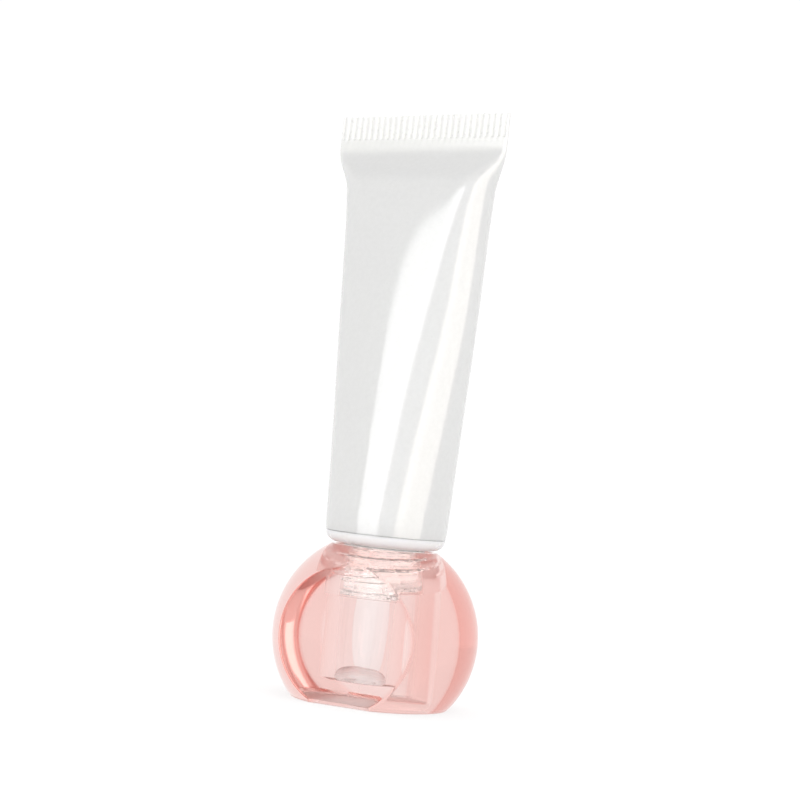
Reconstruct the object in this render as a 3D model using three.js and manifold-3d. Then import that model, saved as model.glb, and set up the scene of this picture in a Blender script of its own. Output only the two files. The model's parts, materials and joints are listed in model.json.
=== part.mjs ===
// Squeeze tube for lip gloss, standing on a clear ball-shaped screw cap.
// Millimetres, +Z up along the tube, origin at the centre of the cap's base.
import * as THREE from 'three';
import { mergeVertices } from 'three/addons/utils/BufferGeometryUtils.js';
import Module from 'manifold-3d';

const wasm = await Module();
wasm.setup();

// ---- Driving dimensions -------------------------------------------------

// Cap: a solid clear ball cut flat at the base, the top, the front and the back.
const BALL_RADIUS = 16.0;
const BALL_CENTRE_Z = 10.2;
const CAP_HEIGHT = 23.9;
const FACE_DISTANCE = 11.7;
const BASE_BEVEL = 0.6;

// Socket in the cap: a blind hole whose wider threaded mouth ends at a ledge.
const CAVITY_RADIUS = 6.6;
const CAVITY_FLOOR_Z = 3.4;
const CAVITY_FLOOR_CHAMFER = 0.4;
const MOUTH_RADIUS = 7.2;
const MOUTH_CHAMFER = 0.4;
const LEDGE_Z = 16.3;

// Washer: the soft ring that the neck's rim presses on the ledge.
const WASHER_OUTER_RADIUS = 7.0;
const WASHER_INNER_RADIUS = 4.4;
const WASHER_THICKNESS = 0.6;
const WASHER_GAP = 0.15;
const WASHER_BOTTOM_Z = LEDGE_Z + WASHER_GAP;

// Neck: a short threaded pipe, closed at its rim but for the outlet.
const NECK_RADIUS = 6.35;
const NECK_BORE_RADIUS = 5.15;
const NECK_RIM_Z = WASHER_BOTTOM_Z + WASHER_THICKNESS + WASHER_GAP;
const NECK_END_WALL = 1.0;
const NECK_CHAMFER = 0.3;
const OUTLET_RADIUS = 3.0;

// Screw thread shared by the neck and the socket's mouth.
const THREAD_PITCH = 1.75;
const THREAD_ROOT_WIDTH = 0.64;
const THREAD_CREST_WIDTH = 0.3;
const THREAD_BURY = 0.3;
const THREAD_LEAST_DEPTH = 0.1;
const NECK_THREAD_CREST = 7.0;
const NECK_THREAD_START_Z = 18.2;
const NECK_THREAD_TURNS = 3;
const SOCKET_THREAD_CREST = 6.6;
const SOCKET_THREAD_START_Z = NECK_THREAD_START_Z + THREAD_PITCH / 2;
const SOCKET_THREAD_TURNS = 2.25;

// Sleeve: a round pipe pressed flat, sealed and crimped at its far end. Sealing
// spreads the wall a little, so the seal is wider than half the round sleeve's girth.
const TUBE_RADIUS = 9.5;
const SLEEVE_WALL = 0.45;
const SLEEVE_END_RADIUS = 9.3;
const SLEEVE_BOTTOM_Z = 26.0;
const SLEEVE_ROUND_TOP_Z = 28.0;
const SEAL_START_Z = 87.1;
const SWELL_POWER = 0.42;
const FOLD_LENGTH = 4.5;
const SLEEVE_STATIONS = 8;
const CRIMP_START_Z = 88.1;
const TUBE_TOP_Z = 91.9;
const SEAL_THICKNESS = 2 * SLEEVE_WALL;
const SEAL_SPREAD = 1.016;
const LEAST_SLOT = 0.1;
const INNER_TOP_MARGIN = 2;
const RIB_COUNT = 29;
const RIB_DEPTH = 0.16;
const RIB_RISE = 0.3;

// Shoulder: the lid that joins the neck to the sleeve, with a skirt inside the sleeve.
const SHOULDER_UNDERSIDE_Z = 24.2;
const SHOULDER_FLAT_RADIUS = 7.4;
const SHOULDER_GAP = 0.15;
const SHOULDER_TOP_Z = SLEEVE_BOTTOM_Z - SHOULDER_GAP;
const SHOULDER_WALL = 1.1;
const SKIRT_GAP = 0.2;
const SKIRT_END_RADIUS = SLEEVE_END_RADIUS - SLEEVE_WALL - SKIRT_GAP;
const SKIRT_RADIUS = TUBE_RADIUS - SLEEVE_WALL - SKIRT_GAP;
const SKIRT_WALL = 0.7;
const SKIRT_TOP_Z = 28.8;

// Set of the soft tail: turned about the axis, moved sideways, and out of square.
const TAIL_TURN = THREE.MathUtils.degToRad(-7);
const TAIL_SHIFT = -0.8;
const TAIL_SLOPE = Math.tan(THREE.MathUtils.degToRad(1.6));

// Smoothness of the round shapes: segments per full turn, and steps per arc.
const BALL_SEGMENTS = 64;
const ROUND_SEGMENTS = 48;
const THREAD_SEGMENTS = 24;
const THREAD_FADE_STEPS = 4;
const BALL_ARC_STEPS = 22;
const SHOULDER_ARC_STEPS = 5;
const SLEEVE_END_STEPS = 16;

// Extra length that a cutting shape reaches past the solid that it cuts.
const CUT_MARGIN = 1;

// Points closer together than this are one point of a closed mesh.
const MERGE_DISTANCE = 1e-5;

// ---- Shape helpers ------------------------------------------------------

const point = (radius, z) => new THREE.Vector2(radius, z);

// Turns a profile of (radius, height) points about the +Z axis.
function turned(profile, segments = ROUND_SEGMENTS) {
  const geometry = new THREE.LatheGeometry(profile, segments);
  return geometry.rotateX(Math.PI / 2);
}

// Points along a circular arc in the (radius, height) plane.
function arcPoints(centreZ, radius, fromZ, toZ, count) {
  const start = Math.asin((fromZ - centreZ) / radius);
  const end = Math.asin((toZ - centreZ) / radius);
  const points = [];
  for (let i = 0; i <= count; i += 1) {
    const angle = THREE.MathUtils.lerp(start, end, i / count);
    points.push(point(radius * Math.cos(angle), centreZ + radius * Math.sin(angle)));
  }
  return points;
}

// A quarter of an ellipse that leads from a flat underside up into a side wall.
function cornerPoints(flatRadius, flatZ, sideRadius, sideZ, count) {
  const points = [];
  for (let i = 1; i < count; i += 1) {
    const angle = (i / count) * Math.PI / 2;
    const radius = flatRadius + (sideRadius - flatRadius) * Math.sin(angle);
    const z = sideZ - (sideZ - flatZ) * Math.cos(angle);
    points.push(point(radius, z));
  }
  return points;
}

// Closed mesh from rings of points; each ring has the same number of points.
function loft(rings) {
  const count = rings[0].length;
  const positions = rings.flat().flatMap((p) => [p.x, p.y, p.z]);
  const indices = [];
  for (let r = 0; r < rings.length - 1; r += 1) {
    const low = r * count;
    const high = low + count;
    for (let i = 0; i < count; i += 1) {
      const next = (i + 1) % count;
      indices.push(low + i, low + next, high + next);
      indices.push(low + i, high + next, high + i);
    }
  }
  closeEnd(positions, indices, rings[0], 0, true);
  closeEnd(positions, indices, rings[rings.length - 1], (rings.length - 1) * count, false);
  const geometry = new THREE.BufferGeometry();
  geometry.setAttribute('position', new THREE.Float32BufferAttribute(positions, 3));
  geometry.setIndex(indices);
  return geometry;
}

// Fans one end of a loft shut around its middle point.
function closeEnd(positions, indices, ring, first, facesDown) {
  const middle = ring.reduce((sum, p) => sum.add(p), new THREE.Vector3());
  middle.divideScalar(ring.length);
  const centre = positions.length / 3;
  positions.push(middle.x, middle.y, middle.z);
  for (let i = 0; i < ring.length; i += 1) {
    const here = first + i;
    const next = first + (i + 1) % ring.length;
    indices.push(centre, facesDown ? next : here, facesDown ? here : next);
  }
}

// ---- Joining and cutting solids -----------------------------------------

function toSolid(geometry) {
  const bare = geometry.clone();
  bare.deleteAttribute('normal');
  bare.deleteAttribute('uv');
  const merged = mergeVertices(bare, MERGE_DISTANCE);
  const mesh = new wasm.Mesh({
    numProp: 3,
    vertProperties: new Float32Array(merged.attributes.position.array),
    triVerts: new Uint32Array(merged.index.array),
  });
  return new wasm.Manifold(mesh);
}

function toGeometry(solid) {
  const mesh = solid.getMesh();
  const geometry = new THREE.BufferGeometry();
  geometry.setAttribute('position', new THREE.Float32BufferAttribute(mesh.vertProperties, 3));
  geometry.setIndex(Array.from(mesh.triVerts));
  geometry.computeVertexNormals();
  return geometry;
}

// ---- Screw thread -------------------------------------------------------

// One right-hand helical ridge. It stands out of a wall of radius `root` to radius
// `crest`, fades out at both ends, and has its foot sunk into the wall.
function threadRidge(root, crest, startZ, turns) {
  const steps = Math.round(turns * THREAD_SEGMENTS);
  const outward = Math.sign(crest - root);
  const foot = root - outward * THREAD_BURY;
  const rings = [];
  for (let i = 0; i <= steps; i += 1) {
    const angle = (i / THREAD_SEGMENTS) * 2 * Math.PI;
    const middleZ = startZ + (i / THREAD_SEGMENTS) * THREAD_PITCH;
    const fade = Math.min(1, Math.min(i, steps - i) / THREAD_FADE_STEPS + THREAD_LEAST_DEPTH);
    const top = root + (crest - root) * fade;
    const section = [
      point(foot, middleZ - THREAD_ROOT_WIDTH / 2),
      point(top, middleZ - THREAD_CREST_WIDTH / 2),
      point(top, middleZ + THREAD_CREST_WIDTH / 2),
      point(foot, middleZ + THREAD_ROOT_WIDTH / 2),
    ];
    const ring = section.map((p) => new THREE.Vector3(
      p.x * Math.cos(angle),
      p.x * Math.sin(angle),
      p.y,
    ));
    rings.push(outward > 0 ? ring.reverse() : ring);
  }
  return loft(rings);
}

// ---- Cap ----------------------------------------------------------------

function ballCap() {
  const foot = Math.sqrt(BALL_RADIUS ** 2 - (BALL_CENTRE_Z - BASE_BEVEL) ** 2);
  const ball = turned([
    point(0, 0),
    point(foot - BASE_BEVEL, 0),
    ...arcPoints(BALL_CENTRE_Z, BALL_RADIUS, BASE_BEVEL, CAP_HEIGHT, BALL_ARC_STEPS),
    point(0, CAP_HEIGHT),
  ], BALL_SEGMENTS);
  const body = toSolid(ball).intersect(toSolid(faceSlab())).subtract(toSolid(socket()));
  const ridge = threadRidge(
    MOUTH_RADIUS,
    SOCKET_THREAD_CREST,
    SOCKET_THREAD_START_Z,
    SOCKET_THREAD_TURNS,
  );
  return toGeometry(body.add(toSolid(ridge)));
}

// The block between the front and back faces, bevelled along its base.
function faceSlab() {
  const outline = new THREE.Shape();
  outline.moveTo(BASE_BEVEL - FACE_DISTANCE, 0);
  outline.lineTo(FACE_DISTANCE - BASE_BEVEL, 0);
  outline.lineTo(FACE_DISTANCE, BASE_BEVEL);
  outline.lineTo(FACE_DISTANCE, CAP_HEIGHT + CUT_MARGIN);
  outline.lineTo(-FACE_DISTANCE, CAP_HEIGHT + CUT_MARGIN);
  outline.lineTo(-FACE_DISTANCE, BASE_BEVEL);
  outline.closePath();
  const length = 2 * (BALL_RADIUS + CUT_MARGIN);
  const slab = new THREE.ExtrudeGeometry(outline, { depth: length, bevelEnabled: false });
  slab.translate(0, 0, -length / 2);
  slab.rotateX(Math.PI / 2);
  return slab.rotateZ(Math.PI / 2);
}

// The empty space inside the cap, with a chamfer at its floor and at its mouth.
function socket() {
  return turned([
    point(0, CAVITY_FLOOR_Z),
    point(CAVITY_RADIUS - CAVITY_FLOOR_CHAMFER, CAVITY_FLOOR_Z),
    point(CAVITY_RADIUS, CAVITY_FLOOR_Z + CAVITY_FLOOR_CHAMFER),
    point(CAVITY_RADIUS, LEDGE_Z),
    point(MOUTH_RADIUS, LEDGE_Z),
    point(MOUTH_RADIUS, CAP_HEIGHT - MOUTH_CHAMFER),
    point(MOUTH_RADIUS + MOUTH_CHAMFER, CAP_HEIGHT),
    point(MOUTH_RADIUS + MOUTH_CHAMFER, CAP_HEIGHT + CUT_MARGIN),
    point(0, CAP_HEIGHT + CUT_MARGIN),
  ]);
}

function washer() {
  return turned([
    point(WASHER_INNER_RADIUS, WASHER_BOTTOM_Z),
    point(WASHER_OUTER_RADIUS, WASHER_BOTTOM_Z),
    point(WASHER_OUTER_RADIUS, WASHER_BOTTOM_Z + WASHER_THICKNESS),
    point(WASHER_INNER_RADIUS, WASHER_BOTTOM_Z + WASHER_THICKNESS),
    point(WASHER_INNER_RADIUS, WASHER_BOTTOM_Z),
  ]);
}

// ---- Tube ---------------------------------------------------------------

function tubeHead() {
  const body = turned([
    point(OUTLET_RADIUS, NECK_RIM_Z),
    point(NECK_RADIUS - NECK_CHAMFER, NECK_RIM_Z),
    point(NECK_RADIUS, NECK_RIM_Z + NECK_CHAMFER),
    point(NECK_RADIUS, SHOULDER_UNDERSIDE_Z),
    point(SHOULDER_FLAT_RADIUS, SHOULDER_UNDERSIDE_Z),
    ...cornerPoints(
      SHOULDER_FLAT_RADIUS,
      SHOULDER_UNDERSIDE_Z,
      SLEEVE_END_RADIUS,
      SHOULDER_TOP_Z,
      SHOULDER_ARC_STEPS,
    ),
    point(SLEEVE_END_RADIUS, SHOULDER_TOP_Z),
    point(SKIRT_END_RADIUS, SHOULDER_TOP_Z),
    point(SKIRT_END_RADIUS, SLEEVE_BOTTOM_Z),
    point(SKIRT_RADIUS, SLEEVE_ROUND_TOP_Z),
    point(SKIRT_RADIUS, SKIRT_TOP_Z),
    point(SKIRT_RADIUS - SKIRT_WALL, SKIRT_TOP_Z),
    point(SKIRT_RADIUS - SKIRT_WALL, SLEEVE_BOTTOM_Z + SHOULDER_WALL),
    point(NECK_BORE_RADIUS, SHOULDER_UNDERSIDE_Z + SHOULDER_WALL),
    point(NECK_BORE_RADIUS, NECK_RIM_Z + NECK_END_WALL),
    point(OUTLET_RADIUS, NECK_RIM_Z + NECK_END_WALL),
    point(OUTLET_RADIUS, NECK_RIM_Z),
  ]);
  const ridge = threadRidge(
    NECK_RADIUS,
    NECK_THREAD_CREST,
    NECK_THREAD_START_Z,
    NECK_THREAD_TURNS,
  );
  return toGeometry(toSolid(body).add(toSolid(ridge)));
}

// How flat the sleeve is pressed at height z: 0 where it is round, 1 where sealed.
// Below the seal the walls part over a short fold, then swell quickly at first and
// ever more slowly towards the round end.
function flatnessAt(z) {
  const below = (SEAL_START_Z - z) / (SEAL_START_Z - SLEEVE_ROUND_TOP_Z);
  const swell = THREE.MathUtils.clamp(below, 0, 1) ** SWELL_POWER;
  const fold = THREE.MathUtils.smoothstep(SEAL_START_Z - z, 0, FOLD_LENGTH);
  return 1 - swell * fold;
}

// One cross-section of the sleeve at height z: a stadium whose round ends shrink
// while its straight sides grow, so the wall's length round the tube stays the same.
function sleeveSection(z, roundRadius, sealedRadius, ribDepth = 0) {
  const flatness = flatnessAt(z);
  const spread = THREE.MathUtils.lerp(1, SEAL_SPREAD, flatness);
  const halfStraight = spread * flatness * (Math.PI / 2) * (roundRadius - sealedRadius);
  const round = THREE.MathUtils.lerp(roundRadius, sealedRadius, flatness);
  const ring = [];
  for (const side of [1, -1]) {
    for (let i = 0; i <= 2 * RIB_COUNT; i += 1) {
      const along = side * halfStraight * (1 - i / RIB_COUNT);
      const groove = i % 2 === 1 ? ribDepth : 0;
      ring.push(tailPoint(along, side * (round - groove), z, flatness));
    }
    for (let i = 1; i < SLEEVE_END_STEPS; i += 1) {
      const angle = side * Math.PI / 2 + Math.PI * (i / SLEEVE_END_STEPS);
      const along = round * Math.cos(angle) - side * halfStraight;
      ring.push(tailPoint(along, round * Math.sin(angle), z, flatness));
    }
  }
  return ring;
}

// Places a point of a section, with the tail's sideways shift and its slope.
function tailPoint(along, across, z, flatness) {
  const share = flatness ** 2;
  const shifted = along + TAIL_SHIFT * share;
  return new THREE.Vector3(shifted, across, z + TAIL_SLOPE * along * share);
}

function tubeSleeve() {
  const sealedRadius = SEAL_THICKNESS / 2;
  const outer = [
    sleeveSection(SLEEVE_BOTTOM_Z, SLEEVE_END_RADIUS, sealedRadius),
    ...sleeveStations(SEAL_START_Z).map((z) => sleeveSection(z, TUBE_RADIUS, sealedRadius)),
    sleeveSection(CRIMP_START_Z, TUBE_RADIUS, sealedRadius),
    sleeveSection(CRIMP_START_Z + RIB_RISE, TUBE_RADIUS, sealedRadius, RIB_DEPTH),
    sleeveSection(TUBE_TOP_Z, TUBE_RADIUS, sealedRadius, RIB_DEPTH),
  ];
  const innerEndRadius = SLEEVE_END_RADIUS - SLEEVE_WALL;
  const innerRadius = TUBE_RADIUS - SLEEVE_WALL;
  const slot = LEAST_SLOT / 2;
  const inner = [
    sleeveSection(SLEEVE_BOTTOM_Z - CUT_MARGIN, innerEndRadius, slot),
    sleeveSection(SLEEVE_BOTTOM_Z, innerEndRadius, slot),
    ...sleeveStations(SEAL_START_Z - INNER_TOP_MARGIN).map(
      (z) => sleeveSection(z, innerRadius, slot),
    ),
  ];
  const hollow = toSolid(loft(outer)).subtract(toSolid(loft(inner)));
  return toGeometry(hollow).rotateZ(TAIL_TURN);
}

// Heights of the sections from the round end up to a given height near the seal,
// closer together towards the seal.
function sleeveStations(topZ) {
  const stations = [];
  for (let i = SLEEVE_STATIONS; i >= 0; i -= 1) {
    const below = (i / SLEEVE_STATIONS) ** 2;
    stations.push(THREE.MathUtils.lerp(topZ, SLEEVE_ROUND_TOP_Z, below));
  }
  return stations;
}

// ---- Materials and assembly ---------------------------------------------

function piece(name, geometry, color, roughness, opacity = 1) {
  const material = new THREE.MeshStandardMaterial({ color, roughness, metalness: 0 });
  material.name = name;
  material.opacity = opacity;
  material.transparent = opacity < 1;
  const mesh = new THREE.Mesh(geometry, material);
  mesh.name = name;
  return mesh;
}

const tube = new THREE.Group();
tube.name = 'tube';
tube.add(piece('tube_head', tubeHead(), 0xf2f1ee, 0.35));
tube.add(piece('tube_sleeve', tubeSleeve(), 0xf4f4f2, 0.35));

const object = new THREE.Group();
object.name = 'lip_gloss_tube';
object.add(piece('ball_cap', ballCap(), 0xf3b8b2, 0.05, 0.5));
object.add(piece('neck_washer', washer(), 0xf7f5f2, 0.6));
object.add(tube);

export default object;
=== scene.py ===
"""Lip gloss squeeze tube standing on a clear ball-shaped screw cap.

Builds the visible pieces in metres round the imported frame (the cap, the washer,
the tube's head and its sleeve), then their materials, the studio and the camera.
"""
import json
import math

import bmesh
import bpy
import numpy as np
from mathutils import Matrix, Vector


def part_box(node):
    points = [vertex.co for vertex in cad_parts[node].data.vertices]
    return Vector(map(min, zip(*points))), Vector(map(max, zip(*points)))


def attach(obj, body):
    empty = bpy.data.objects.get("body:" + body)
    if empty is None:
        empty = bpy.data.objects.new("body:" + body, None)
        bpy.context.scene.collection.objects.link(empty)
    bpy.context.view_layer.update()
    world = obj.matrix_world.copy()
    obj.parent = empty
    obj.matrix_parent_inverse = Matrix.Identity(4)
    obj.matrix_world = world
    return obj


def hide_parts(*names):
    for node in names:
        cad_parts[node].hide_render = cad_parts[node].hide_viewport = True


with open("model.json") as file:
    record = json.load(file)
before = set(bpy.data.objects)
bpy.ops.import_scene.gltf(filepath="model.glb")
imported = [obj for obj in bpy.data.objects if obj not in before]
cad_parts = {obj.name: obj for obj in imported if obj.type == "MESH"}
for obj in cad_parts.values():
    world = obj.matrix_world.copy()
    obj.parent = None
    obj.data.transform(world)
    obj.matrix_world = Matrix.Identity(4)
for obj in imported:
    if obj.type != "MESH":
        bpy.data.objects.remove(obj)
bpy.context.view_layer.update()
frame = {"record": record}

MM = 0.001
TURN = 2 * math.pi
MERGE_DISTANCE = 1e-7
SAME_RADIUS = 1e-9
SAME_HEIGHT = 1e-6

# The middle point of a rounded corner stands off its sides by this share of the radius.
CORNER_MIDDLE = 0.3

# ---- Places read from the frame ----

MOUNTS = {mount["name"]: mount["pos_m"] for mount in frame["record"]["mounts"]}
CAP_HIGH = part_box("ball_cap")[1]
WASHER_LOW, WASHER_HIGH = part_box("neck_washer")
HEAD_LOW, HEAD_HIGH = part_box("tube_head")
SLEEVE_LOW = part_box("tube_sleeve")[0]

# ---- Cap ----

BALL_RADIUS = CAP_HIGH[0]
BALL_CENTRE_Z = MOUNTS["front_face"][2]
CAP_TOP_Z = CAP_HIGH[2]
FACE_Y = CAP_HIGH[1]
BASE_BEVEL = 0.6 * MM
RIM_ROUND = 0.2 * MM
FACE_EDGE_ROUND = 0.25 * MM
CAVITY_RADIUS = 6.6 * MM
CAVITY_FLOOR_Z = 3.4 * MM
CAVITY_FLOOR_ROUND = 0.5 * MM
LEDGE_Z = 16.3 * MM
MOUTH_RADIUS = 7.2 * MM
MOUTH_CHAMFER = 0.4 * MM
BALL_SEGMENTS = 256
BALL_ARC_POINTS = 81
FACE_EDGE_STEPS = 4
TURNED_SEGMENTS = 192
CAP_SHARP_DEGREES = 24

# ---- Screw thread, which starts 0.6 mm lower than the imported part's ----

THREAD_PITCH = 1.75 * MM
THREAD_STEP = 0.08 * MM
THREAD_FADE_TURNS = 0.12
HALF_CREST = 0.13 * MM
HALF_ROOT = 0.36 * MM
NECK_THREAD = {"crest": 7.0 * MM, "start": 17.6 * MM, "turns": 3.35}
SOCKET_THREAD = {
    "crest": 6.6 * MM,
    "start": NECK_THREAD["start"] + THREAD_PITCH / 2,
    "turns": 2.25,
}

# ---- Washer and head ----

WASHER_INNER_RADIUS = 4.4 * MM
WASHER_OUTER_RADIUS = WASHER_HIGH[0]
NECK_RIM_Z = HEAD_LOW[2]
NECK_RADIUS = 6.35 * MM
NECK_BORE_RADIUS = 5.15 * MM
NECK_END_WALL = 1.0 * MM
OUTLET_RADIUS = 3.0 * MM
SHOULDER_UNDERSIDE_Z = 24.2 * MM
SHOULDER_FLAT_RADIUS = 7.4 * MM
SHOULDER_TOP_Z = SLEEVE_LOW[2] - 0.05 * MM
SHOULDER_WALL = 1.1 * MM
SKIRT_WALL = 0.7 * MM
SKIRT_GAP = 0.1 * MM
SHOULDER_CURVE_POINTS = 17
WASHER_OUTLINE_POINTS = 32
WASHER_SHARP_DEGREES = 60
HEAD_SHARP_DEGREES = 40
THICK_PLASTIC, THIN_PLASTIC = 0, 1

# ---- Sleeve ----

TUBE_RADIUS = 9.5 * MM
SLEEVE_WALL = 0.45 * MM
SLEEVE_END_RADIUS = 9.3 * MM
SLEEVE_BOTTOM_Z = SLEEVE_LOW[2]
SLEEVE_ROUND_TOP_Z = 28.0 * MM
SEAL_START_Z = 87.1 * MM
CRIMP_START_Z = 88.1 * MM
TUBE_TOP_Z = 91.9 * MM
SEAL_HALF = SLEEVE_WALL
SEAL_SPREAD = 1.016
SLOT_HALF = 0.05 * MM
INNER_TOP_Z = SEAL_START_Z - 1.0 * MM
RIB_COUNT = 29
RIB_DEPTH = 0.26 * MM
RIB_RISE = 0.25 * MM
GROOVE_GAIN = 1.3
GROOVE_POWER = 3
SWELL_POWER = 0.42
FOLD_LENGTH = 7 * MM
FACET_LENGTH = 34 * MM
TAIL_POWER = 1.5
TAIL_TURN = math.radians(-7)
TAIL_SHIFT = -0.8 * MM
TAIL_SLOPE = math.tan(math.radians(1.6))
SECTION_POINTS = 720
ROUND_END_STEPS = 5
SWELL_SECTIONS = 80
WIDTH_HALVINGS = 24
SLEEVE_SHARP_DEGREES = 50

# ---- Clear pink plastic: its flat faces, its moulded ball and the base ----

FACE_TINT = (0.96, 0.955, 0.955)
# Painted shade: the ball's curved skin is tinted a deeper pink than the flat faces, though the plastic
# is the same all through
BALL_PAINTED_SHADE = (0.90, 0.70, 0.67)
FACE_ROUGHNESS = 0.012
BALL_ROUGHNESS = 0.08
BASE_ROUGHNESS = 0.45
PINK_IOR = 1.49
PINK_ABSORPTION = (0.875, 0.144, 0.025, 1)
PINK_DENSITY = 16
HAIRLINE_SCALE = 260
HAIRLINE_STRETCH = (1, 1, 0.05)
WAVE_SCALE = 130
PINK_BUMP = 0.012 * MM

# ---- Natural plastic of the washer and the head ----

NATURAL_DARK = (0.93, 0.925, 0.915)
NATURAL_LIGHT = (0.99, 0.985, 0.98)
NATURAL_IOR = 1.3
NATURAL_SCATTER_LENGTH = 0.6 * MM
# Painted glow: the undyed plastic gives off faint light of its own, though it is no lamp
NATURAL_PAINTED_GLOW = (1, 0.98, 0.96, 1)
NATURAL_PAINTED_GLOW_STRENGTH = 0.1
CLOUD_SCALE = 500
RING_SCALE = 60
RING_STRETCH = (0.2, 0.2, 40)
RING_BUMP = 0.01 * MM

# ---- Milky plastic of the sleeve ----

MILKY_DARK = (0.765, 0.765, 0.75)
MILKY_LIGHT = (0.80, 0.80, 0.785)
MILKY_SCATTER_LENGTH = 1.5 * MM
SLEEVE_ROUGHNESS = 0.10
CRIMP_ROUGHNESS = 0.26
MOTTLING_SCALE = 1500
SPECK_SCALE = 2600
DRAWN_SCALE = 500
DRAWN_STRETCH = (1, 1, 0.02)
MILKY_BUMP = 0.002 * MM
SCATTER_BY_COLOUR = (1, 1, 0.95)

# ---- Studio ----

FLOOR_TONE = 0.28
FLOOR_GLOW = 0.77
FLOOR_START = 0.55
FLOOR_CURVE = 0.5
FLOOR_HALF_WIDTH = 3
FLOOR_FRONT = -2.0
FLOOR_WALL_TOP = 3.0
FLOOR_DROP = 0.03 * MM
LIGHT_DISTANCE = 0.5
WORLD_DARK, WORLD_LIGHT = 0.74, 1.0
WORLD_FROM, WORLD_TO = -0.2, 0.5
BACK_AND_UP = 0.7
GLASS_BOUNCES = 48
CLEAR_BOUNCES = 16

# ---- Camera ----

CAMERA_AZIMUTH = math.radians(22.6)
CAMERA_ELEVATION = math.radians(-2.0)
CAMERA_ROLL = math.radians(6.0)
CAMERA_DISTANCE = 300 * MM
SENSOR_WIDTH = 36
FOCAL_SHARE = 1923 / 800
AIM = Vector((0, 0, 47.05 * MM))


# ---- Mesh helpers ----

def new_object(name, mesh):
    piece = bpy.data.objects.new(name, mesh)
    bpy.context.scene.collection.objects.link(piece)
    return piece


def mesh_from_rings(name, rings, loop=False):
    """A closed skin over rings of points that all have the same number of points."""
    count = len(rings[0])
    points = [tuple(p) for ring in rings for p in ring]
    faces = []
    last = len(rings) if loop else len(rings) - 1
    for r in range(last):
        low = r * count
        high = ((r + 1) % len(rings)) * count
        for i in range(count):
            n = (i + 1) % count
            faces.append((low + i, low + n, high + n, high + i))
    if not loop:
        top = (len(rings) - 1) * count
        faces.append(tuple(reversed(range(count))))
        faces.append(tuple(range(top, top + count)))
    mesh = bpy.data.meshes.new(name)
    mesh.from_pydata(points, [], faces)
    tidy_mesh(mesh)
    return mesh


def tidy_mesh(mesh):
    bm = bmesh.new()
    bm.from_mesh(mesh)
    bmesh.ops.remove_doubles(bm, verts=bm.verts, dist=MERGE_DISTANCE)
    bmesh.ops.recalc_face_normals(bm, faces=bm.faces)
    bm.to_mesh(mesh)
    bm.free()
    mesh.update()


def smooth(piece, degrees):
    """Shades the piece smooth, except across edges sharper than degrees."""
    piece.data.shade_smooth()
    piece.data.set_sharp_from_angle(angle=math.radians(degrees))


def turned(name, profile, shape=None):
    """Turns a closed (radius, height) outline about Z. shape may move each point's radius."""
    rings = []
    for i in range(TURNED_SEGMENTS):
        angle = TURN * i / TURNED_SEGMENTS
        ring = []
        for radius, z in profile:
            r = shape(radius, z, angle) if shape else radius
            ring.append((r * math.cos(angle), r * math.sin(angle), z))
        rings.append(ring)
    return mesh_from_rings(name, rings, loop=True)


def smoothstep(value):
    t = min(1.0, max(0.0, value))
    return t * t * (3 - 2 * t)


# ---- Screw threads ----

def with_thread_steps(profile, wall_radius):
    """Adds points along the stretches of an outline that carry the thread."""
    dense = []
    for (r0, z0), (r1, z1) in zip(profile, profile[1:] + profile[:1]):
        on_wall = max(abs(r0 - wall_radius), abs(r1 - wall_radius)) < SAME_RADIUS
        parts = math.ceil(abs(z1 - z0) / THREAD_STEP) if on_wall else 1
        for k in range(parts):
            dense.append((r0 + (r1 - r0) * k / parts, z0 + (z1 - z0) * k / parts))
    return dense


def thread_shape(wall_radius, thread):
    """A function that moves a point of the wall in or out along a helical ridge."""
    def ridge(z, angle):
        nearest = round((z - thread["start"]) / THREAD_PITCH - angle / TURN)
        height = 0.0
        for whole in (nearest - 1, nearest, nearest + 1):
            along = whole + angle / TURN
            if 0 <= along <= thread["turns"]:
                away = abs(z - thread["start"] - along * THREAD_PITCH)
                side = 1 - (away - HALF_CREST) / (HALF_ROOT - HALF_CREST)
                ends = min(along, thread["turns"] - along) / THREAD_FADE_TURNS
                height = max(height, smoothstep(side) * min(1.0, ends))
        return height

    def shape(radius, z, angle):
        if abs(radius - wall_radius) > SAME_RADIUS:
            return radius
        return radius + (thread["crest"] - wall_radius) * ridge(z, angle)

    return shape


# ---- Cap ----

def ball_between_faces():
    """The ball with its front and back faces, turned about the Y axis.

    A small curve rounds the edge where each face meets the ball.
    """
    face_radius = math.sqrt(BALL_RADIUS ** 2 - FACE_Y ** 2)
    edge_angle = math.atan2(FACE_Y, face_radius) - FACE_EDGE_ROUND / BALL_RADIUS
    face_end = np.array((face_radius - FACE_EDGE_ROUND, FACE_Y))
    corner = np.array((face_radius, FACE_Y))
    ball_start = BALL_RADIUS * np.array((math.cos(edge_angle), math.sin(edge_angle)))
    outline = [(face_radius - 3 * FACE_EDGE_ROUND, FACE_Y)]
    for t in np.linspace(0, 1, FACE_EDGE_STEPS + 1)[:-1]:
        curve = (1 - t) ** 2 * face_end + 2 * t * (1 - t) * corner + t * t * ball_start
        outline.append(tuple(curve))
    edge = list(outline)
    for angle in np.linspace(edge_angle, -edge_angle, BALL_ARC_POINTS):
        outline.append((BALL_RADIUS * math.cos(angle), BALL_RADIUS * math.sin(angle)))
    outline += [(radius, -y) for radius, y in reversed(edge)]
    angles = [TURN * i / BALL_SEGMENTS for i in range(BALL_SEGMENTS)]
    rings = []
    for radius, y in outline:
        ring = [(radius * math.cos(a), y, BALL_CENTRE_Z + radius * math.sin(a)) for a in angles]
        rings.append(ring)
    return mesh_from_rings("ball", rings)


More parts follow.
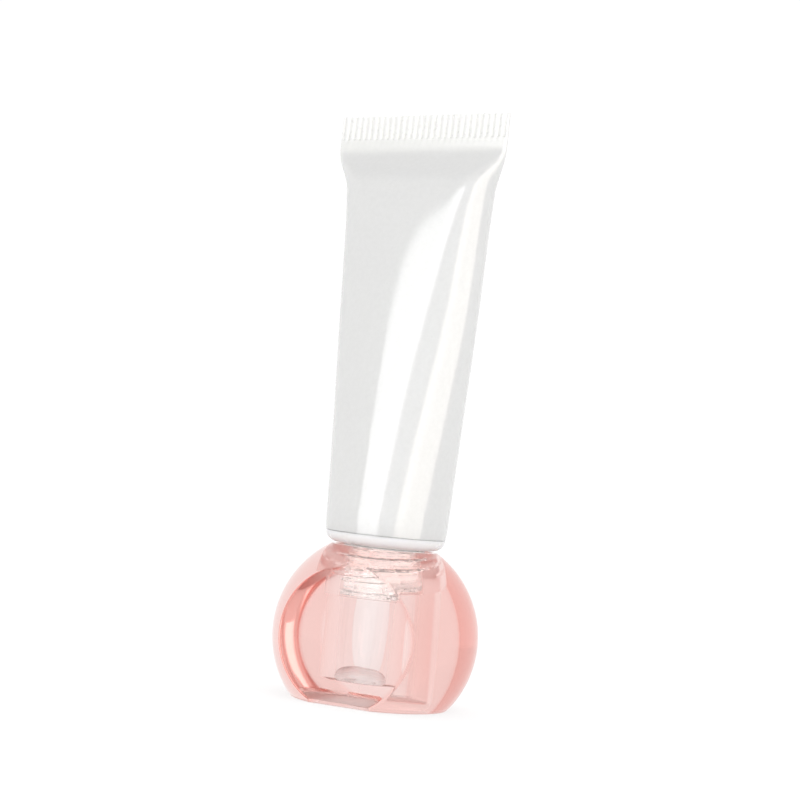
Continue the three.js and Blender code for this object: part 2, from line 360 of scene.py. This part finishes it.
def trimming_core():
    """A solid turned about Z: outside, it cuts the base, top and rims; inside, it is the socket."""
    foot = math.sqrt(BALL_RADIUS ** 2 - (BALL_CENTRE_Z - BASE_BEVEL) ** 2)
    rim = math.sqrt(BALL_RADIUS ** 2 - (CAP_TOP_Z - RIM_ROUND - BALL_CENTRE_Z) ** 2)
    outer = BALL_RADIUS + 2 * MM
    outer_start = 3 * MM
    near_axis = 0.01 * MM
    ledge_chamfer = 0.1 * MM
    floor_round = CAVITY_FLOOR_ROUND
    floor_middle = CORNER_MIDDLE * floor_round
    profile = [
        (near_axis, 0),
        (foot - BASE_BEVEL, 0),
        (foot, BASE_BEVEL),
        (outer, outer_start),
        (outer, CAP_TOP_Z - outer_start),
        (rim, CAP_TOP_Z - RIM_ROUND),
        (rim - RIM_ROUND, CAP_TOP_Z),
        (MOUTH_RADIUS + MOUTH_CHAMFER, CAP_TOP_Z),
        (MOUTH_RADIUS, CAP_TOP_Z - MOUTH_CHAMFER),
        (MOUTH_RADIUS, LEDGE_Z),
        (CAVITY_RADIUS + ledge_chamfer, LEDGE_Z),
        (CAVITY_RADIUS, LEDGE_Z - ledge_chamfer),
        (CAVITY_RADIUS, CAVITY_FLOOR_Z + floor_round),
        (CAVITY_RADIUS - floor_middle, CAVITY_FLOOR_Z + floor_middle),
        (CAVITY_RADIUS - floor_round, CAVITY_FLOOR_Z),
        (near_axis, CAVITY_FLOOR_Z),
    ]
    dense = with_thread_steps(profile, MOUTH_RADIUS)
    return turned("core", dense, thread_shape(MOUTH_RADIUS, SOCKET_THREAD))


def cut_by_plane(piece, point, normal):
    """Cuts away the side of the piece that normal points to, and closes the cut."""
    bm = bmesh.new()
    bm.from_mesh(piece.data)
    geometry = bm.verts[:] + bm.edges[:] + bm.faces[:]
    cut = bmesh.ops.bisect_plane(
        bm, geom=geometry, plane_co=point, plane_no=normal, clear_outer=True
    )
    edges = [item for item in cut["geom_cut"] if isinstance(item, bmesh.types.BMEdge)]
    bmesh.ops.edgenet_fill(bm, edges=edges)
    bmesh.ops.recalc_face_normals(bm, faces=bm.faces)
    bm.to_mesh(piece.data)
    bm.free()


def intersected(piece, other):
    """Replaces the piece's mesh by what it shares with the other object, which is removed."""
    common = piece.modifiers.new("common", "BOOLEAN")
    common.operation = "INTERSECT"
    common.solver = "EXACT"
    common.object = other
    bpy.context.view_layer.update()
    evaluated = piece.evaluated_get(bpy.context.evaluated_depsgraph_get())
    mesh = bpy.data.meshes.new_from_object(evaluated)
    piece.modifiers.clear()
    piece.data = mesh
    bpy.data.objects.remove(other)


def cap():
    piece = new_object("clear_ball", ball_between_faces())
    intersected(piece, new_object("core", trimming_core()))
    for side in (1, -1):
        bevel_edge = Vector((0, side * FACE_Y, BASE_BEVEL))
        cut_by_plane(piece, bevel_edge, Vector((0, side, -1)).normalized())
    smooth(piece, CAP_SHARP_DEGREES)
    return piece


# ---- Washer and head ----

def washer():
    """A soft flat ring with well rounded edges."""
    middle_z = (WASHER_LOW[2] + WASHER_HIGH[2]) / 2
    half_height = (WASHER_HIGH[2] - WASHER_LOW[2]) / 2
    middle_radius = (WASHER_OUTER_RADIUS + WASHER_INNER_RADIUS) / 2
    half_width = (WASHER_OUTER_RADIUS - WASHER_INNER_RADIUS) / 2
    squareness = 0.3
    profile = []
    for k in range(WASHER_OUTLINE_POINTS):
        across = math.cos(TURN * k / WASHER_OUTLINE_POINTS)
        along = math.sin(TURN * k / WASHER_OUTLINE_POINTS)
        radius = middle_radius + half_width * math.copysign(abs(across) ** squareness, across)
        z = middle_z + half_height * math.copysign(abs(along) ** squareness, along)
        profile.append((radius, z))
    piece = new_object("soft_washer", turned("soft_washer", profile))
    smooth(piece, WASHER_SHARP_DEGREES)
    return piece


def head():
    """The shoulder, the threaded neck with its outlet, and the skirt inside the sleeve."""
    chamfer = 0.3 * MM
    fillet = 0.3 * MM
    skirt_end = SLEEVE_END_RADIUS - SLEEVE_WALL - SKIRT_GAP
    skirt_radius = TUBE_RADIUS - SLEEVE_WALL - SKIRT_GAP
    skirt_top = HEAD_HIGH[2]
    profile = [
        (OUTLET_RADIUS, NECK_RIM_Z),
        (NECK_RADIUS - chamfer, NECK_RIM_Z),
        (NECK_RADIUS - CORNER_MIDDLE * chamfer, NECK_RIM_Z + CORNER_MIDDLE * chamfer),
        (NECK_RADIUS, NECK_RIM_Z + chamfer),
        (NECK_RADIUS, SHOULDER_UNDERSIDE_Z - fillet),
        (NECK_RADIUS + CORNER_MIDDLE * fillet, SHOULDER_UNDERSIDE_Z - CORNER_MIDDLE * fillet),
        (NECK_RADIUS + fillet, SHOULDER_UNDERSIDE_Z),
    ]
    shoulder_width = SLEEVE_END_RADIUS - SHOULDER_FLAT_RADIUS
    shoulder_height = SHOULDER_TOP_Z - SHOULDER_UNDERSIDE_Z
    for angle in np.linspace(0, math.pi / 2, SHOULDER_CURVE_POINTS):
        radius = SHOULDER_FLAT_RADIUS + shoulder_width * math.sin(angle)
        z = SHOULDER_TOP_Z - shoulder_height * math.cos(angle)
        profile.append((radius, z))
    profile += [
        (skirt_end, SHOULDER_TOP_Z),
        (skirt_end, SLEEVE_BOTTOM_Z),
        (skirt_radius, SLEEVE_ROUND_TOP_Z),
        (skirt_radius, skirt_top),
        (skirt_radius - SKIRT_WALL, skirt_top),
        (skirt_radius - SKIRT_WALL, SLEEVE_BOTTOM_Z + SHOULDER_WALL),
        (NECK_BORE_RADIUS, SHOULDER_UNDERSIDE_Z + SHOULDER_WALL),
        (NECK_BORE_RADIUS, NECK_RIM_Z + NECK_END_WALL),
        (OUTLET_RADIUS, NECK_RIM_Z + NECK_END_WALL),
    ]
    dense = with_thread_steps(profile, NECK_RADIUS)
    mesh = turned("shoulder_and_neck", dense, thread_shape(NECK_RADIUS, NECK_THREAD))
    piece = new_object("shoulder_and_neck", mesh)
    smooth(piece, HEAD_SHARP_DEGREES)
    for face in mesh.polygons:
        on_neck = face.center.z < SHOULDER_UNDERSIDE_Z - SAME_HEIGHT
        face.material_index = THIN_PLASTIC if on_neck else THICK_PLASTIC
    return piece


# ---- Sleeve ----

def roundness(z):
    """How far the walls have parted at height z: 0 at the seal, 1 at the round end."""
    below = (SEAL_START_Z - z) / (SEAL_START_Z - SLEEVE_ROUND_TOP_Z)
    swell = min(1.0, max(0.0, below)) ** SWELL_POWER
    return swell * smoothstep((SEAL_START_Z - z) / FOLD_LENGTH)


def evenly_spaced(points, count):
    """count points at equal distances along a closed line, from its first point on."""
    closed = np.vstack([points, points[:1]])
    steps = np.hypot(*np.diff(closed, axis=0).T)
    travelled = np.concatenate([[0], np.cumsum(steps)])
    wanted = np.linspace(0, travelled[-1], count, endpoint=False)
    return np.stack([np.interp(wanted, travelled, closed[:, k]) for k in (0, 1)], axis=1)


def stadium(half_width, half_depth):
    """Points of two straight sides joined by round ends."""
    half_straight = half_width - half_depth
    angles = np.linspace(0, TURN, SECTION_POINTS, endpoint=False)
    side = np.sign(np.cos(angles).round(9))
    x = half_depth * np.cos(angles) + half_straight * side
    return np.stack([x, half_depth * np.sin(angles)], axis=1)


def ellipse(half_width, half_depth):
    """Points of an ellipse, in the same order as the stadium's."""
    angles = np.linspace(0, TURN, SECTION_POINTS, endpoint=False)
    return np.stack([half_width * np.cos(angles), half_depth * np.sin(angles)], axis=1)


def length_round(points):
    """The length of a closed line."""
    closed = np.vstack([points, points[:1]])
    return np.hypot(*np.diff(closed, axis=0).T).sum()


def width_for(shape, half_depth, length):
    """Half the width at which a section has the given length round it."""
    low, high = half_depth, length / 3
    for _ in range(WIDTH_HALVINGS):
        middle = (low + high) / 2
        if length_round(shape(middle, half_depth)) < length:
            low = middle
        else:
            high = middle
    return middle


def sleeve_section(z, radius, seal_half, ribs=0.0):
    """A ring of points round the sleeve at height z, with the tail's turn, shift and slope."""
    opened = roundness(z)
    half_depth = seal_half + (radius - seal_half) * opened
    length = TURN * radius * (1 + (SEAL_SPREAD - 1) * (1 - opened))
    facet = 1 - smoothstep((SEAL_START_Z - z) / FACET_LENGTH)
    flat_width = width_for(stadium, half_depth, length)
    full_width = width_for(ellipse, half_depth, length)
    flat = evenly_spaced(stadium(flat_width, half_depth), SECTION_POINTS)
    full = evenly_spaced(ellipse(full_width, half_depth), SECTION_POINTS)
    section = facet * flat + (1 - facet) * full
    if ribs > 0:
        groove = rib_groove(section[:, 0], flat[:, 0].max())
        section[:, 1] -= np.sign(section[:, 1]) * ribs * groove
    tail = (1 - opened) ** TAIL_POWER
    z_points = z + TAIL_SLOPE * section[:, 0] * tail
    x = section[:, 0] + TAIL_SHIFT * tail
    y = section[:, 1]
    cos, sin = math.cos(TAIL_TURN), math.sin(TAIL_TURN)
    return np.stack([cos * x - sin * y, sin * x + cos * y, z_points], axis=1)


def rib_groove(x, half_width):
    """Depth, 0 to 1, of the grooves between the crimp's ribs at distances x from the middle."""
    pitch = 2 * half_width / RIB_COUNT
    wave = 0.5 + 0.5 * np.cos(TURN * x / pitch)
    return np.clip(GROOVE_GAIN * wave ** GROOVE_POWER, 0, 1)


def sleeve_heights():
    """Heights of the outer sections from the shoulder to the seal, closer near the seal."""
    round_end = np.linspace(SLEEVE_BOTTOM_Z, SLEEVE_ROUND_TOP_Z, ROUND_END_STEPS + 1)[:-1]
    swell_length = SEAL_START_Z - SLEEVE_ROUND_TOP_Z
    swell = SEAL_START_Z - swell_length * np.linspace(1, 0, SWELL_SECTIONS) ** 2
    return round_end, swell


def sleeve():
    """The wall's outside up to the crimped tail, and its inside as a narrowing hollow."""
    round_end, swell = sleeve_heights()
    outer = []
    for z in round_end:
        t = (z - SLEEVE_BOTTOM_Z) / (SLEEVE_ROUND_TOP_Z - SLEEVE_BOTTOM_Z)
        bulge = math.sin(t * math.pi / 2)
        radius = SLEEVE_END_RADIUS + (TUBE_RADIUS - SLEEVE_END_RADIUS) * bulge
        outer.append(sleeve_section(z, radius, SEAL_HALF))
    for z in swell:
        outer.append(sleeve_section(z, TUBE_RADIUS, SEAL_HALF))
    outer.append(sleeve_section(CRIMP_START_Z, TUBE_RADIUS, SEAL_HALF))
    for t in (0.25, 0.5, 0.75, 1.0):
        z = CRIMP_START_Z + t * RIB_RISE
        outer.append(sleeve_section(z, TUBE_RADIUS, SEAL_HALF, RIB_DEPTH * smoothstep(t)))
    outer.append(sleeve_section(TUBE_TOP_Z, TUBE_RADIUS, SEAL_HALF, RIB_DEPTH))
    inner = [sleeve_section(SLEEVE_BOTTOM_Z, SLEEVE_END_RADIUS - SLEEVE_WALL, SLOT_HALF)]
    for z in swell[:-1:2]:
        if z < INNER_TOP_Z:
            inner.append(sleeve_section(z, TUBE_RADIUS - SLEEVE_WALL, SLOT_HALF))
    mesh = mesh_from_rings("crimped_sleeve", inner[::-1] + outer)
    piece = new_object("crimped_sleeve", mesh)
    smooth(piece, SLEEVE_SHARP_DEGREES)
    return piece


# ---- Materials ----

def new_material(name):
    material = bpy.data.materials.new(name)
    material.use_nodes = True
    nodes = material.node_tree.nodes
    return material, nodes, material.node_tree.links, nodes["Principled BSDF"]


def object_point(nodes):
    """The surface point in metres, in the object's own frame."""
    return nodes.new("ShaderNodeTexCoord").outputs["Object"]


def noise(nodes, links, scale, detail=2.0, stretch=(1, 1, 1)):
    """Noise with about scale features a metre; stretch multiplies that along X, Y and Z."""
    mapping = nodes.new("ShaderNodeMapping")
    mapping.inputs["Scale"].default_value = stretch
    texture = nodes.new("ShaderNodeTexNoise")
    texture.inputs["Scale"].default_value = scale
    texture.inputs["Detail"].default_value = detail
    links.new(object_point(nodes), mapping.inputs["Vector"])
    links.new(mapping.outputs["Vector"], texture.inputs["Vector"])
    return texture.outputs["Fac"]


def ranged(nodes, links, value, low, high, to_low, to_high):
    """Maps a value from low..high to to_low..to_high, held at both ends."""
    node = nodes.new("ShaderNodeMapRange")
    node.inputs["From Min"].default_value = low
    node.inputs["From Max"].default_value = high
    node.inputs["To Min"].default_value = to_low
    node.inputs["To Max"].default_value = to_high
    links.new(value, node.inputs["Value"])
    return node.outputs["Result"]


def blended(nodes, links, share, first, second):
    """A colour between first and second."""
    node = nodes.new("ShaderNodeMix")
    node.data_type = "RGBA"
    node.inputs["A"].default_value = (*first, 1)
    node.inputs["B"].default_value = (*second, 1)
    links.new(share, node.inputs["Factor"])
    return node.outputs["Result"]


def combined(nodes, links, first, second, operation="ADD"):
    """One number from two, added unless another operation is named."""
    node = nodes.new("ShaderNodeMath")
    node.operation = operation
    links.new(first, node.inputs[0])
    links.new(second, node.inputs[1])
    return node.outputs["Value"]


def bumped(nodes, links, shader, height, depth):
    """Raises the surface by up to depth metres where height is 1."""
    node = nodes.new("ShaderNodeBump")
    node.inputs["Distance"].default_value = depth
    links.new(height, node.inputs["Height"])
    links.new(node.outputs["Normal"], shader.inputs["Normal"])


def from_ball_centre(nodes, links):
    """Distance of the surface point from the centre of the ball."""
    node = nodes.new("ShaderNodeVectorMath")
    node.operation = "DISTANCE"
    node.inputs[1].default_value = (0, 0, BALL_CENTRE_Z)
    links.new(object_point(nodes), node.inputs[0])
    return node.outputs["Value"]


def pink_plastic():
    """Clear pink and thick: a painted shade makes it deeper pink on the ball's skin, which is also
    softer; matt on the base it stands on.
    """
    material, nodes, links, shader = new_material("pink_clear_plastic")
    on_ball = ranged(nodes, links, from_ball_centre(nodes, links),
                     BALL_RADIUS - 0.5 * MM, BALL_RADIUS - 0.05 * MM, 0, 1)
    # Painted shade: colour runs from the near-white face tint to a deeper pink on the ball's curved
    # skin
    links.new(blended(nodes, links, on_ball, FACE_TINT, BALL_PAINTED_SHADE), shader.inputs["Base Color"])
    shader.inputs["Transmission Weight"].default_value = 1
    shader.inputs["IOR"].default_value = PINK_IOR
    streaks = noise(nodes, links, HAIRLINE_SCALE, 2, HAIRLINE_STRETCH)
    hairlines = ranged(nodes, links, streaks, 0.70, 0.74, 0, 1)
    height = nodes.new("ShaderNodeSeparateXYZ")
    links.new(object_point(nodes), height.inputs["Vector"])
    base = ranged(nodes, links, height.outputs["Z"], 0.05 * MM, 0.3 * MM, BASE_ROUGHNESS, 0)
    rough_share = combined(nodes, links, on_ball, hairlines)
    skin = ranged(nodes, links, rough_share, 0, 1, FACE_ROUGHNESS, BALL_ROUGHNESS)
    links.new(combined(nodes, links, skin, base), shader.inputs["Roughness"])
    waves = noise(nodes, links, WAVE_SCALE, 1)
    bumped(nodes, links, shader, combined(nodes, links, waves, hairlines), PINK_BUMP)
    absorb = nodes.new("ShaderNodeVolumeAbsorption")
    absorb.inputs["Color"].default_value = PINK_ABSORPTION
    absorb.inputs["Density"].default_value = PINK_DENSITY
    links.new(absorb.outputs["Volume"], nodes["Material Output"].inputs["Volume"])
    return material


def natural_plastic(name, roughness, clarity):
    """Undyed translucent plastic with fine turning rings and a faint cloudiness.

    The clearer it is, the more painted glow it gives off, standing in for light that the milky sleeve
    carries down to it.
    """
    material, nodes, links, shader = new_material(name)
    cloud = noise(nodes, links, CLOUD_SCALE, 3)
    colour = blended(nodes, links, cloud, NATURAL_DARK, NATURAL_LIGHT)
    links.new(colour, shader.inputs["Base Color"])
    rough = ranged(nodes, links, cloud, 0.3, 0.7, 0.7 * roughness, 1.3 * roughness)
    links.new(rough, shader.inputs["Roughness"])
    shader.inputs["Transmission Weight"].default_value = clarity
    shader.inputs["IOR"].default_value = NATURAL_IOR
    shader.inputs["Subsurface Weight"].default_value = 1
    shader.inputs["Subsurface Radius"].default_value = SCATTER_BY_COLOUR
    shader.inputs["Subsurface Scale"].default_value = NATURAL_SCATTER_LENGTH
    # Painted glow: emission standing in for light the milky sleeve carries down, scaled by clarity
    shader.inputs["Emission Color"].default_value = NATURAL_PAINTED_GLOW
    shader.inputs["Emission Strength"].default_value = NATURAL_PAINTED_GLOW_STRENGTH * clarity
    rings = noise(nodes, links, RING_SCALE, 1, RING_STRETCH)
    bumped(nodes, links, shader, rings, RING_BUMP)
    return material


def milky_plastic():
    """Glossy milky sleeve: drawn lines along it, faint mottling, dust specks, a duller seal."""
    material, nodes, links, shader = new_material("milky_plastic")
    mottling = noise(nodes, links, MOTTLING_SCALE, 3)
    specks = ranged(nodes, links, noise(nodes, links, SPECK_SCALE, 0), 0.80, 0.83, 0, 1)
    specked = combined(nodes, links, mottling, specks, "SUBTRACT")
    tone = ranged(nodes, links, specked, 0.2, 0.8, 0, 1)
    colour = blended(nodes, links, tone, MILKY_DARK, MILKY_LIGHT)
    links.new(colour, shader.inputs["Base Color"])
    height = nodes.new("ShaderNodeSeparateXYZ")
    links.new(object_point(nodes), height.inputs["Vector"])
    seal = ranged(
        nodes, links, height.outputs["Z"],
        SEAL_START_Z, CRIMP_START_Z, SLEEVE_ROUGHNESS, CRIMP_ROUGHNESS,
    )
    uneven = ranged(nodes, links, mottling, 0.3, 0.7, 0, 0.05)
    rough = combined(nodes, links, seal, uneven)
    links.new(rough, shader.inputs["Roughness"])
    shader.inputs["Subsurface Weight"].default_value = 0.5
    shader.inputs["Subsurface Radius"].default_value = SCATTER_BY_COLOUR
    shader.inputs["Subsurface Scale"].default_value = MILKY_SCATTER_LENGTH
    drawn = noise(nodes, links, DRAWN_SCALE, 1, DRAWN_STRETCH)
    bumped(nodes, links, shader, combined(nodes, links, drawn, mottling), MILKY_BUMP)
    return material


# ---- Studio ----

def stage_floor():
    """A pale paper floor that curves up far behind the object."""
    profile = [(FLOOR_FRONT, 0.0), (FLOOR_START, 0.0)]
    for angle in np.linspace(0, math.pi / 2, 13)[1:]:
        y = FLOOR_START + FLOOR_CURVE * math.sin(angle)
        z = FLOOR_CURVE - FLOOR_CURVE * math.cos(angle)
        profile.append((y, z))
    profile.append((FLOOR_START + FLOOR_CURVE, FLOOR_WALL_TOP))
    sides = (-FLOOR_HALF_WIDTH, FLOOR_HALF_WIDTH)
    points = [(x, y, z - FLOOR_DROP) for y, z in profile for x in sides]
    faces = [(2 * i, 2 * i + 1, 2 * i + 3, 2 * i + 2) for i in range(len(profile) - 1)]
    mesh = bpy.data.meshes.new("floor")
    mesh.from_pydata(points, [], faces)
    mesh.shade_smooth()
    floor = new_object("floor", mesh)
    floor.rotation_euler = (0, 0, CAMERA_AZIMUTH)
    material, _, _, shader = new_material("paper")
    shader.inputs["Base Color"].default_value = (FLOOR_TONE, FLOOR_TONE, FLOOR_TONE, 1)
    shader.inputs["Roughness"].default_value = 0.9
    shader.inputs["Specular IOR Level"].default_value = 0.1
    shader.inputs["Emission Color"].default_value = (1, 1, 1, 1)
    shader.inputs["Emission Strength"].default_value = FLOOR_GLOW
    floor.data.materials.append(material)
    floor.visible_glossy = False


def direction(azimuth, elevation):
    """Unit vector from the object towards a place so far round from -Y and so far up."""
    level = math.cos(elevation)
    return Vector((math.sin(azimuth) * level, -math.cos(azimuth) * level, math.sin(elevation)))


def add_camera():
    back = direction(CAMERA_AZIMUTH, CAMERA_ELEVATION)
    right = Vector((math.cos(CAMERA_AZIMUTH), math.sin(CAMERA_AZIMUTH), 0))
    up = back.cross(right)
    x_axis = math.cos(CAMERA_ROLL) * right + math.sin(CAMERA_ROLL) * up
    y_axis = math.cos(CAMERA_ROLL) * up - math.sin(CAMERA_ROLL) * right
    data = bpy.data.cameras.new("camera")
    data.sensor_width = SENSOR_WIDTH
    data.lens = FOCAL_SHARE * SENSOR_WIDTH
    data.clip_start = 0.01
    camera = new_object("camera", data)
    axes = Matrix((x_axis, y_axis, back)).transposed().to_4x4()
    camera.matrix_world = Matrix.Translation(AIM + CAMERA_DISTANCE * back) @ axes
    bpy.context.scene.camera = camera


def area_light(name, side_degrees, up_degrees, width, height, radiance, color=(1, 1, 1)):
    """A soft light half a metre from the object, so many degrees right of and above the camera."""
    azimuth = CAMERA_AZIMUTH + math.radians(side_degrees)
    way = direction(azimuth, math.radians(up_degrees))
    data = bpy.data.lights.new(name, "AREA")
    data.shape = "RECTANGLE"
    data.size = width
    data.size_y = height
    data.energy = radiance * math.pi * width * height
    data.color = color
    light = new_object(name, data)
    light.location = AIM + LIGHT_DISTANCE * way
    light.rotation_euler = (-way).to_track_quat("-Z", "Y").to_euler()
    light.visible_camera = False
    return light


def reflected_only(light, pieces):
    """Leaves only the light's reflections, and only on the given pieces."""
    light.visible_diffuse = False
    light.visible_transmission = False
    light.visible_volume_scatter = False
    receivers = bpy.data.collections.new(light.name + "_receivers")
    for piece in pieces:
        receivers.objects.link(piece)
    light.light_linking.receiver_collection = receivers


def world_light():
    """White all round, darker in front and below, but never dark through clear plastic."""
    world = bpy.data.worlds.new("studio")
    bpy.context.scene.world = world
    world.use_nodes = True
    nodes = world.node_tree.nodes
    links = world.node_tree.links
    coordinates = nodes.new("ShaderNodeTexCoord")
    behind = nodes.new("ShaderNodeVectorMath")
    behind.operation = "DOT_PRODUCT"
    behind.inputs[1].default_value = (
        -BACK_AND_UP * math.sin(CAMERA_AZIMUTH),
        BACK_AND_UP * math.cos(CAMERA_AZIMUTH),
        BACK_AND_UP,
    )
    strength = nodes.new("ShaderNodeMapRange")
    strength.inputs["From Min"].default_value = WORLD_FROM
    strength.inputs["From Max"].default_value = WORLD_TO
    strength.inputs["To Min"].default_value = WORLD_DARK
    strength.inputs["To Max"].default_value = WORLD_LIGHT
    background = nodes["Background"]
    background.inputs["Color"].default_value = (1, 1, 1, 1)
    links.new(coordinates.outputs["Generated"], behind.inputs[0])
    links.new(behind.outputs["Value"], strength.inputs["Value"])
    through_glass = nodes.new("ShaderNodeLightPath").outputs["Is Transmission Ray"]
    brightest = combined(nodes, links, strength.outputs["Result"], through_glass, "MAXIMUM")
    links.new(brightest, background.inputs["Strength"])


# ---- Assembly ----

def place(piece, body, node, *materials):
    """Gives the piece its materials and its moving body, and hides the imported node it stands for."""
    for material in materials:
        piece.data.materials.append(material)
    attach(piece, body)
    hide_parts(node)


ball_cap = cap()
tube_head = head()
tube_sleeve = sleeve()
place(ball_cap, "cap", "ball_cap", pink_plastic())
place(washer(), "washer", "neck_washer", natural_plastic("soft_plastic", roughness=0.25, clarity=0.95))
place(
    tube_head, "tube", "tube_head",
    natural_plastic("thick_natural_plastic", roughness=0.25, clarity=0.0),
    natural_plastic("thin_natural_plastic", roughness=0.1, clarity=0.96),
)
place(tube_sleeve, "tube", "tube_sleeve", milky_plastic())

add_camera()
stage_floor()
world_light()
area_light("front_fill", side_degrees=0, up_degrees=8, width=0.6, height=0.4, radiance=1.15)
left_strip = area_light(
    "left_strip", side_degrees=-36, up_degrees=-2, width=0.364, height=0.53, radiance=5.0
)
right_strip = area_light(
    "right_strip", side_degrees=42, up_degrees=5, width=0.52, height=0.6, radiance=4.4,
    color=(1.0, 0.92, 0.83),
)
tube_pieces = (tube_head, tube_sleeve)
reflected_only(left_strip, tube_pieces)
reflected_only(right_strip, tube_pieces)

scene = bpy.context.scene
scene.view_settings.view_transform = "Standard"
scene.cycles.max_bounces = GLASS_BOUNCES
scene.cycles.transmission_bounces = GLASS_BOUNCES
scene.cycles.glossy_bounces = GLASS_BOUNCES
scene.cycles.transparent_max_bounces = CLEAR_BOUNCES
